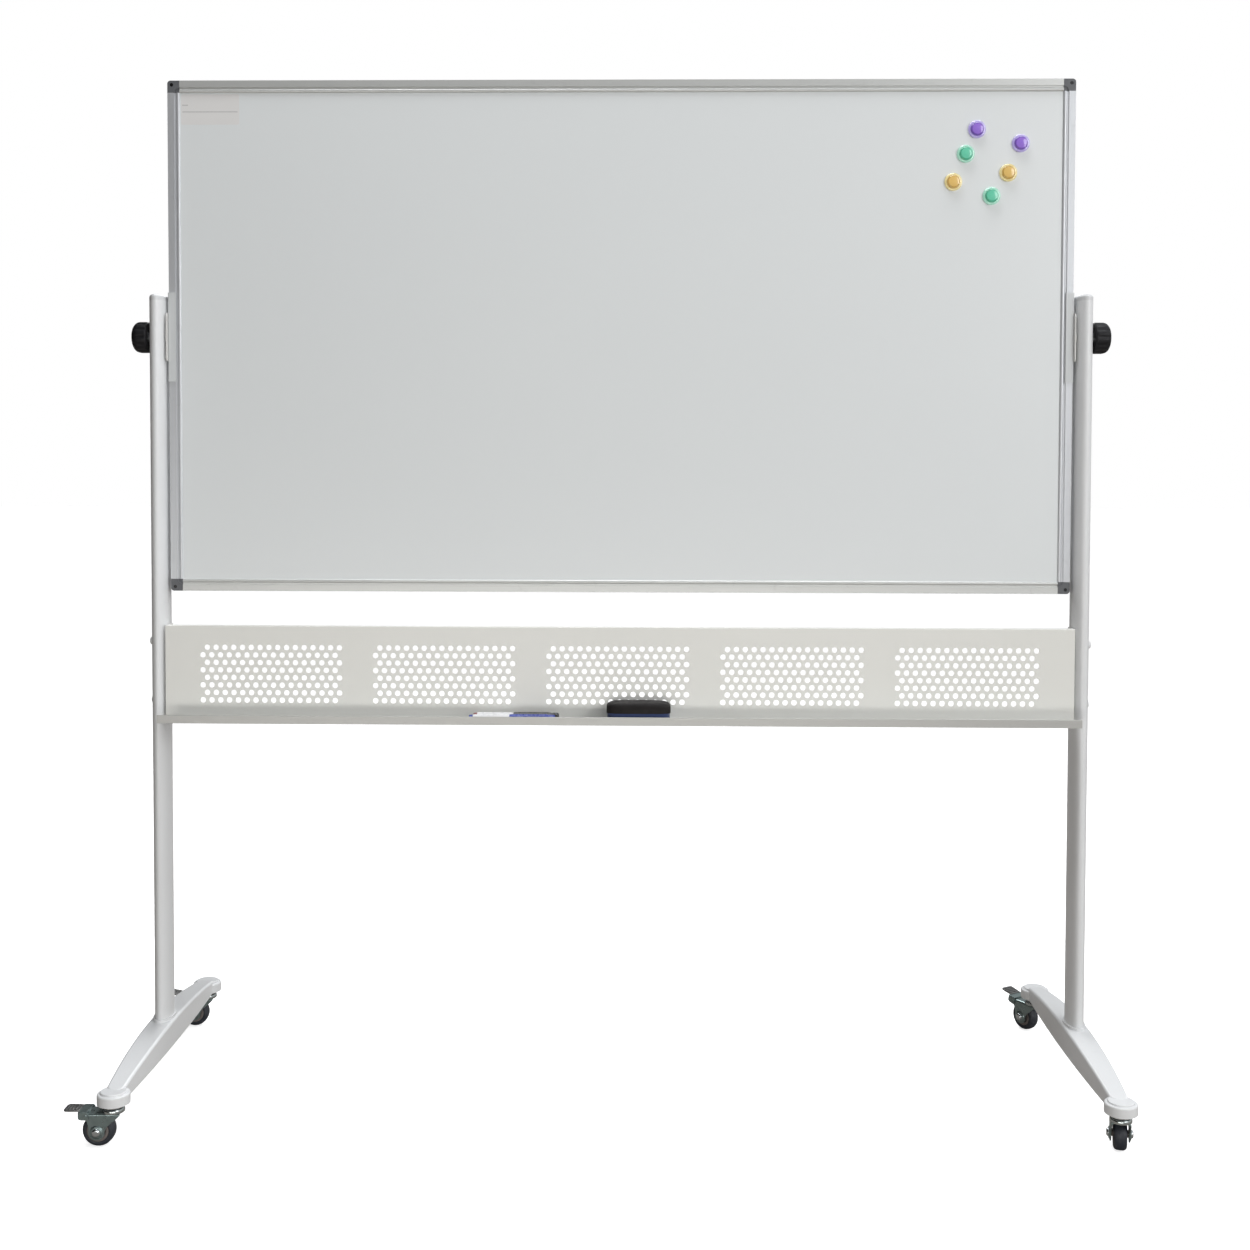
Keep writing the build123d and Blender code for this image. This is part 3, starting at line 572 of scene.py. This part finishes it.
def make_wheel(name, finishes):
    """Round-shouldered tyre, on a hub with a rim, a ribbed web and a long boss."""
    joint = joints[f"{name}_wheel_spin"]
    place = axis_frame(Vector(joint["pos_m"]), joint["axis"])
    low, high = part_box(f"{name}_tyre")
    radius = (high.z - low.z) / 2 / MM
    half, rim = WHEEL_HALF, radius - TYRE_DEPTH
    side = [(half - 0.6, rim), (half, rim + 1.2), (half, radius - 5.4), (half - 0.6, radius - 3.3),
            (half - 2.0, radius - 1.6), (half - 4.6, radius - 0.4), (0.5, radius)]
    tread = [(-along, reach) for along, reach in side] + side[::-1]
    body = f"{name}_wheel"
    piece(f"{name}_tyre_ring", ring_lathe(tread, place, 128), body, finishes["rubber"],
          (f"{name}_tyre",), 50.0)
    face, boss = half - 0.5, FORK_OUTER - FORK_SHEET - 0.4
    side = [(boss, 3.1), (boss - 0.1, 5.6), (3.8, 6.0), (3.2, 6.6), (3.2, 11.0), (face - 1.5, 11.6),
            (face, 12.2), (face, rim - 0.6), (face - 0.6, rim)]
    hub = side + [(-along, reach) for along, reach in side[::-1]]
    meshes = [ring_lathe(hub, place, 96)]
    for index in range(HUB_RIBS):
        turn = place @ Matrix.Rotation(2 * math.pi * index / HUB_RIBS, 4, "X")
        meshes.append(box_mesh((-6.4, 6.0, -0.8), (6.4, 11.9, 0.8), turn))
    made = piece(f"{name}_wheel_centre", joined(meshes), body, finishes["wheel"],
                 (f"{name}_hub",), 35.0)
    soften(made, 0.25, 2)


def box_mesh(low, high, place):
    """Block between two corners in millimetres."""
    (a, b, c), (d, e, f) = low, high
    corners = [(a, b, c), (d, b, c), (d, e, c), (a, e, c), (a, b, f), (d, b, f), (d, e, f), (a, e, f)]
    faces = [(0, 3, 2, 1), (4, 5, 6, 7), (0, 1, 5, 4), (1, 2, 6, 5), (2, 3, 7, 6), (3, 0, 4, 7)]
    return mesh_of([place @ (Vector(p) * MM) for p in corners], faces)


def cheek_line():
    """Outline of a fork cheek in the caster's X and Z: wide at the crown, round at the axle."""
    line = [(-43.5, 50.5), (-43.5, 46.5), (-42.5, 45.2), (-38.5, 43.2), (-36.6, 41.0), (-35.2, 36.0)]
    for index in range(17):
        angle = math.radians(168 + index * 12.4)
        line.append((-TRAIL + CHEEK_END * math.cos(angle), AXLE_HEIGHT + CHEEK_END * math.sin(angle)))
    return line + [(-6.0, 33.6), (0.6, 39.2), (6.0, 43.6), (10.0, 47.4), (13.0, 50.5)]


def crown_section():
    """Loop of (y, z) across the fork's crown plate, bent down at both edges."""
    bend = 3.5
    over = []
    for index in range(7):
        angle = math.radians(90 * index / 6)
        over.append((FORK_OUTER - bend + bend * math.cos(angle), CROWN_TOP - bend + bend * math.sin(angle)))
    over += [(-y, z) for y, z in reversed(over)]
    inner = FORK_OUTER - FORK_SHEET
    under = [(y * inner / FORK_OUTER, z - FORK_SHEET) for y, z in reversed(over)]
    under[0] = (-inner, CROWN_TOP - bend)
    under[-1] = (inner, CROWN_TOP - bend)
    return over + under


def swept(loop, stations, place):
    """Solid with one closed (y, z) section at several places along local X."""
    points = [place @ (Vector((x, y, z)) * MM) for x in stations for y, z in loop]
    return skinned(points, len(loop))


def make_fork(name, finishes):
    """Pressed fork: crown and cheeks bent from one sheet, bossed at the axle, and a domed ball race."""
    place = caster_place(name)
    axle = place @ Matrix.Translation(Vector((-TRAIL, 0, AXLE_HEIGHT)) * MM)
    boss = [(FORK_OUTER - 0.4, 3.1), (FORK_OUTER - 0.4, 10.4), (FORK_OUTER + 0.2, 10.4),
            (FORK_OUTER + 1.6, 8.6), (FORK_OUTER + 2.0, 7.0), (FORK_OUTER + 2.0, 3.1)]
    meshes = [swept(crown_section(), (-43.5, -32.0, -20.0, -8.0, 4.0, 13.0), place)]
    for side in (-1, 1):
        offset = place @ Matrix.Translation((0, side * (FORK_OUTER - FORK_SHEET / 2) * MM, 0))
        meshes.append(plate_solid(cheek_line(), FORK_SHEET, offset))
        meshes.append(ring_lathe(boss, axle @ Matrix.Rotation(math.radians(90 * side), 4, "Z"), 64))
    made = piece(f"{name}_fork_pressing", joined(meshes), f"{name}_swivel", finishes["zinc"],
                 (f"{name}_fork",), 38.0)
    soften(made, 0.45, 3)
    upright = place @ Matrix.Rotation(math.radians(-90), 4, "Y")
    dome = [(52.2, 4.2), (52.2, 16.2), (53.0, 17.0), (56.2, 17.0), (58.4, 16.2), (59.6, 14.4), (60.0, 12.0),
            (60.0, 4.2)]
    made = piece(f"{name}_fork_dome", ring_lathe(dome, upright, 96), f"{name}_swivel",
                 finishes["dome"], (), 38.0)
    soften(made, 0.3, 2)


def lever_place(name):
    """Local frame of a brake lever: at its pivot, turned up by its rest lift, tread towards local -X."""
    lift = max(joints[f"{name}_brake_press"]["range_deg"][1], 0)
    pivot = Matrix.Translation(Vector(LEVER_PIVOT) * MM)
    return caster_place(name) @ pivot @ Matrix.Rotation(math.radians(lift), 4, "Y")


def tread_line():
    """Outline of the tread plate in the lever's X and Y: slightly wider at its round far corners."""
    line = [(-11.0, -12.0)]
    for corner_x, corner_y, start in ((-31.0, -7.4, 270), (-31.0, 7.4, 180)):
        for index in range(7):
            angle = math.radians(start - 90 * index / 6)
            line.append((corner_x + 5.4 * math.cos(angle), corner_y + 5.4 * math.sin(angle)))
    return line + [(-11.0, 12.0)]


def make_lever(name, finishes):
    """Brake lever: a pressed channel with a ribbed tread plate at its end."""
    place = lever_place(name)
    body = f"{name}_brake"
    channel = [box_mesh((-12, -16.3, 5.0), (2, 16.3, 6.6), place)]
    for side in (-1, 1):
        offset = place @ Matrix.Translation((0, side * 16.1 * MM, 0))
        line = [(-12, 6.0), (-12, -3.0), (-10.0, -5.4), (-6.5, -6.0), (1.0, -6.0), (3.6, -4.4), (4.0, -2.0),
                (4.0, 4.0), (2.0, 6.0)]
        channel.append(plate_solid(line, 1.4, offset))
    across = place @ Matrix.Rotation(math.radians(90), 4, "Z")
    pin = [(-17.6, 0.4), (-17.6, 2.0), (-17.1, 2.5), (17.1, 2.5), (17.6, 2.0), (17.6, 0.4)]
    channel.append(lathe(pin, across, 32))
    channel.append(box_mesh((-3, -8, -3.0), (3, 8, 5.4), place))
    made = piece(f"{name}_lever_channel", joined(channel), body, finishes["zinc"],
                 (f"{name}_brake_lever",), 35.0)
    soften(made, 0.35, 3)
    flat = place @ Matrix.Translation((0, 0, 6.5 * MM)) @ Matrix.Rotation(math.radians(-90), 4, "X")
    made = piece(f"{name}_lever_tread", plate_solid(tread_line(), 2.8, flat), body, finishes["lever"],
                 (), 35.0)
    soften(made, 0.9, 4)
    ribs = []
    for index in range(TREAD_RIBS):
        start = -33 + 5 * index
        ribs.append(box_mesh((start, -10.4, 7.4), (start + 2.4, 10.4, 8.95), place))
    made = piece(f"{name}_lever_ribs", joined(ribs), body, finishes["lever"], (), 35.0)
    soften(made, 0.5, 3)


# ------------------------------------------------------------------ things on the board and tray

def make_magnet(name, finishes):
    """Translucent rolled flange, a saturated grip with a face painted paler as a painted highlight, and the
    ferrite disc in its back.
    """
    low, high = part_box(name)
    centre = (low + high) / 2
    colour = name.split("_")[0]
    radius = (high.x - low.x) / 2 / MM
    height = (high.y - low.y) / MM
    place = axis_frame(Vector((centre.x, high.y, centre.z)), (0, -1, 0))
    rim = [(0, 9.7), (0, radius - 0.5), (0.6, radius), (2.4, radius), (3.4, radius - 1.4), (3.7, 11.2),
           (3.4, 9.7)]
    rim = rim[:1] + rounded(rim[1:], 0.6, 3)
    piece(f"{name}_rim", ring_lathe(rim, place, 96), name, finishes[f"{colour}_rim"],
          (name,), 40.0)
    crown = height - GRIP_INSET
    grip = [(2.6, CORE), (2.6, 9.6)] + rounded([(3.2, 11.3), (4.4, 11.1), (crown, 9.4), (crown, 8.2)], 0.6)
    grip.append((crown - 0.4, CORE))
    piece(f"{name}_grip", lathe(grip, place, 96), name, finishes[colour], (), 40.0)
    edge = height - FACE_DOME
    face = [(edge - 0.4, CORE), (edge - 0.4, FACE_RADIUS), (edge, FACE_RADIUS)]
    for index in range(1, 9):
        share = index / 8
        face.append((edge + FACE_DOME * share * (2 - share), max(CORE, FACE_RADIUS * (1 - share))))
    # The face piece takes the lighter _face copy of the grip colour: a painted highlight on the lit front
    # face.
    piece(f"{name}_face", lathe(face, place, 96), name, finishes[f"{colour}_face"], (),
          40.0)
    disc = [(0.1, CORE), (0.1, 8.6), (0.5, 9.0), (2.0, 9.0), (2.4, 8.6), (2.4, CORE)]
    piece(f"{name}_disc", lathe(disc, place, 64), name, finishes["ferrite"], (), 40.0)


def make_marker(name, accent, cap_finish, finishes):
    """Marker with a coloured cap, a white barrel and a coloured end plug."""
    low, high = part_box(name)
    centre = (low + high) / 2
    place = axis_frame(Vector((low.x, centre.y, centre.z)), (1, 0, 0))
    length = (high.x - low.x) / MM
    cap_radius = (high.z - low.z) / 2 / MM
    seam = length * SEAM_SHARE
    neck = BARREL_RADIUS - 0.3
    plug = [(0.2, CORE), (0.2, 4.2), (1.2, 5.4), (7.0, 5.9), (7.0, CORE)]
    barrel = [(6.8, CORE), (6.8, neck), (7.4, BARREL_RADIUS), (seam - 4, BARREL_RADIUS), (seam - 3.4, neck),
              (seam + 2, neck), (seam + 2, CORE)]
    cap = [(seam, CORE), (seam, BARREL_RADIUS), (seam + 0.8, cap_radius - 0.2), (seam + 3.0, cap_radius),
           (length - 14, cap_radius), (length - 13, cap_radius - 0.5), (length - 3.0, cap_radius - 0.7),
           (length - 1.0, cap_radius - 1.8), (length - 0.1, cap_radius - 3.4), (length - 0.1, CORE)]

    def ridged(along, angle):
        if along < seam + 12 or along > length - 15:
            return 1.0
        return 1.0 - RIDGE_DEPTH * max(0.0, math.cos(CAP_RIDGES * angle))

    piece(f"{name}_plug", lathe(rounded(plug, 0.7), place, 64), name, finishes[accent])
    piece(f"{name}_barrel", lathe(rounded(barrel, 0.4), place, 64), name, finishes["pen_white"],
          (name,))
    fine_cap = rounded(cap, 0.9)
    first, step = seam + 11, 2.0
    between = [(first + index * step, cap_radius) for index in range(int((length - 26 - seam) / step))]
    merged = [spot for spot in fine_cap if spot[0] < first] + between
    merged += [spot for spot in fine_cap if spot[0] > first]
    piece(f"{name}_cap", lathe(merged, place, 96, ridged), name, finishes[cap_finish])


def crowned_block(low, high, crown, exponent=5.0):
    """Block with round plan corners, a crowned top and slightly waisted long sides."""
    centre = (low + high) / 2
    half = (high - low) / 2
    levels, around, shoulder = 14, 96, 0.55
    points = []
    for level in range(levels + 1):
        t = level / levels
        above = max(0.0, (t - shoulder) / (1 - shoulder))
        shrink = 1.0 - crown * (1 - math.sqrt(1 - above * above))
        for index in range(around):
            angle = 2 * math.pi * index / around
            c, s = math.cos(angle), math.sin(angle)
            reach = shrink * (abs(c) ** exponent + abs(s) ** exponent) ** (-1 / exponent)
            waist = 1.0 - WAIST * math.sin(math.pi * min(1.0, t / 0.8)) * (1 - abs(c) ** 3)
            points.append((centre.x + half.x * c * reach, centre.y + half.y * s * reach * waist,
                           low.z + (high.z - low.z) * t))
    return skinned(points, around)


def make_eraser(finishes):
    """Moulded handle over a felt pad."""
    low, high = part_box("eraser_grip")
    handle = crowned_block(low, high, HANDLE_CROWN)
    piece("eraser_handle", handle, "eraser", finishes["handle"], ("eraser_grip",), 60.0)
    low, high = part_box("eraser_felt")
    piece("eraser_pad", crowned_block(low, high, 0.0), "eraser", finishes["felt"],
          ("eraser_felt",), 50.0)


def make_label(finishes):
    """Thin blank sticker on the front sheet."""
    low, high = label_corners()
    radius, steps = LABEL_CORNER * MM, 6
    outline = []
    for cx, cz, start in ((high.x - radius, high.z - radius, 0), (low.x + radius, high.z - radius, 90),
                          (low.x + radius, low.z + radius, 180), (high.x - radius, low.z + radius, 270)):
        for index in range(steps + 1):
            angle = math.radians(start + 90 * index / steps)
            outline.append((cx + radius * math.cos(angle), cz + radius * math.sin(angle)))
    back, front = low.y + LABEL_BACK * MM, low.y + LABEL_FRONT * MM
    points = [(x, y, z) for y in (back, front) for x, z in outline]
    piece("blank_label", skinned(points, len(outline)), "board", finishes["label"])


# ------------------------------------------------------------------ CAD nodes

def dress_cad(finishes):
    """Gives every CAD node that stays visible its material."""
    chosen = {
        "white": ("left_post", "right_post", "left_foot", "right_foot", "panel_bolts"),
        "panel": ("perforated_panel", "panel_flanges"),
        "screw": ("board_screws",),
        "cap": ("left_post_cap", "right_post_cap"),
        "bar_across": ("frame_top", "frame_bottom"),
        "bar_upright": ("frame_left", "frame_right"),
        "corner": ("corner_pieces",),
        "lacquer": ("front_sheet", "back_sheet"),
        "core": ("board_core",),
        "bracket": ("side_brackets",),
        "plate": ("pivot_plates",),
        "tray": ("pen_tray",),
        "bolt": ("pivot_nuts", "post_plugs", "foot_bolts", "knob_washers", "left_knob_stud",
                 "right_knob_stud", "caster_stems", *[f"{name}_axle" for name in CASTERS]),
    }
    for finish, names in chosen.items():
        for name in names:
            for slot in nodes[name].material_slots:
                slot.material = finishes[finish]


# ------------------------------------------------------------------ studio

def area_light(name, place, target, size, power, colour):
    """Softbox at a place, aimed at a target, that the camera doesn't see."""
    light = bpy.data.lights.new(name, "AREA")
    light.shape = "RECTANGLE"
    light.size, light.size_y = size
    light.energy = power
    light.color = colour
    made = bpy.data.objects.new(name, light)
    bpy.context.scene.collection.objects.link(made)
    made.location = place
    made.visible_camera = False
    made.rotation_mode = "QUATERNION"
    made.rotation_quaternion = (Vector(target) - made.location).to_track_quat("-Z", "Y")


def studio_world():
    """Surroundings: dark and warm towards -X, white towards +X, and plain white to the camera."""
    world = bpy.data.worlds.new("studio")
    bpy.context.scene.world = world
    world.use_nodes = True
    tree = world.node_tree
    tree.nodes.clear()
    output = tree.nodes.new("ShaderNodeOutputWorld")
    coordinates = tree.nodes.new("ShaderNodeTexCoord")
    split = tree.nodes.new("ShaderNodeSeparateXYZ")
    ramp = tree.nodes.new("ShaderNodeValToRGB")
    spread = tree.nodes.new("ShaderNodeMapRange")
    spread.inputs["From Min"].default_value = -1.0
    lighting = tree.nodes.new("ShaderNodeBackground")
    backdrop = tree.nodes.new("ShaderNodeBackground")
    path = tree.nodes.new("ShaderNodeLightPath")
    mix = tree.nodes.new("ShaderNodeMixShader")
    ramp.color_ramp.elements[0].color = WORLD_TONES[0][1]
    ramp.color_ramp.elements[1].color = WORLD_TONES[-1][1]
    for position, colour in WORLD_TONES[1:-1]:
        ramp.color_ramp.elements.new(position).color = colour
    lighting.inputs["Strength"].default_value = WORLD_STRENGTH
    backdrop.inputs["Color"].default_value = (1, 1, 1, 1)
    links = tree.links
    links.new(coordinates.outputs["Generated"], split.inputs["Vector"])
    links.new(split.outputs["X"], spread.inputs["Value"])
    links.new(spread.outputs["Result"], ramp.inputs["Fac"])
    links.new(ramp.outputs["Color"], lighting.inputs["Color"])
    links.new(path.outputs["Is Camera Ray"], mix.inputs["Fac"])
    links.new(lighting.outputs["Background"], mix.inputs[1])
    links.new(backdrop.outputs["Background"], mix.inputs[2])
    links.new(mix.outputs["Shader"], output.inputs["Surface"])


def floor_sheet(name, height, tone, glow):
    """Large sheet of matt paper."""
    half = FLOOR_SIZE / 2
    corners = [(-half, -half, height), (half, -half, height), (half, half, height), (-half, half, height)]
    mesh = mesh_of(corners, [(0, 1, 2, 3)])
    floor = bpy.data.objects.new(name, mesh)
    bpy.context.scene.collection.objects.link(floor)
    darker = tuple(0.97 * channel for channel in tone)
    finish = Finish(name, tone, 0.9)
    finish.colour(finish.noise(0.7, detail=1.0), tone, darker)
    finish.shader.inputs["Emission Color"].default_value = (1, 1, 1, 1)
    finish.shader.inputs["Emission Strength"].default_value = glow
    mesh.materials.append(finish.material)
    return floor


def studio_floor():
    """A white floor that only the camera sees, and a darker one just below it that the object sees."""
    seen = floor_sheet("floor_seen", 0.0, SEEN_TONE, FLOOR_GLOW)
    seen.visible_diffuse = False
    seen.visible_glossy = False
    seen.visible_transmission = False
    seen.visible_shadow = False
    lit = floor_sheet("floor_lit", -FLOOR_GAP, LIT_TONE, 0.0)
    lit.visible_camera = False


def studio_camera():
    """Camera in front of the object, a little right of its middle and above it, looking slightly down."""
    data = bpy.data.cameras.new("camera")
    data.sensor_width = SENSOR_WIDTH
    data.lens = LENS
    data.shift_x, data.shift_y = LENS_SHIFT
    made = bpy.data.objects.new("camera", data)
    bpy.context.scene.collection.objects.link(made)
    made.location = CAMERA_PLACE
    tilt, turn, roll = math.radians(90 - CAMERA_DOWN), math.radians(CAMERA_TURN), math.radians(CAMERA_ROLL)
    made.rotation_mode = "QUATERNION"
    matrix = Matrix.Rotation(turn, 4, "Z") @ Matrix.Rotation(tilt, 4, "X") @ Matrix.Rotation(roll, 4, "Z")
    made.rotation_quaternion = matrix.to_quaternion()
    bpy.context.scene.camera = made


def make_studio():
    """Surroundings, floor, lights and camera."""
    studio_world()
    studio_floor()
    for light in LIGHTS:
        area_light(*light)
    bpy.context.scene.view_settings.view_transform = "Standard"
    studio_camera()


# ------------------------------------------------------------------ scene

def make_pieces():
    """Every finish, and every piece of the object."""
    finishes = make_materials()
    dress_cad(finishes)
    for side in ("left", "right"):
        make_knob(side, finishes)
    for name in CASTERS:
        make_wheel(name, finishes)
        make_fork(name, finishes)
        make_lever(name, finishes)
    for name in MAGNETS:
        make_magnet(name, finishes)
    make_marker("blue_marker", "pen_blue", "pen_blue", finishes)
    make_marker("black_marker", "pen_red", "pen_black", finishes)
    make_eraser(finishes)
    make_label(finishes)


make_studio()
make_pieces()
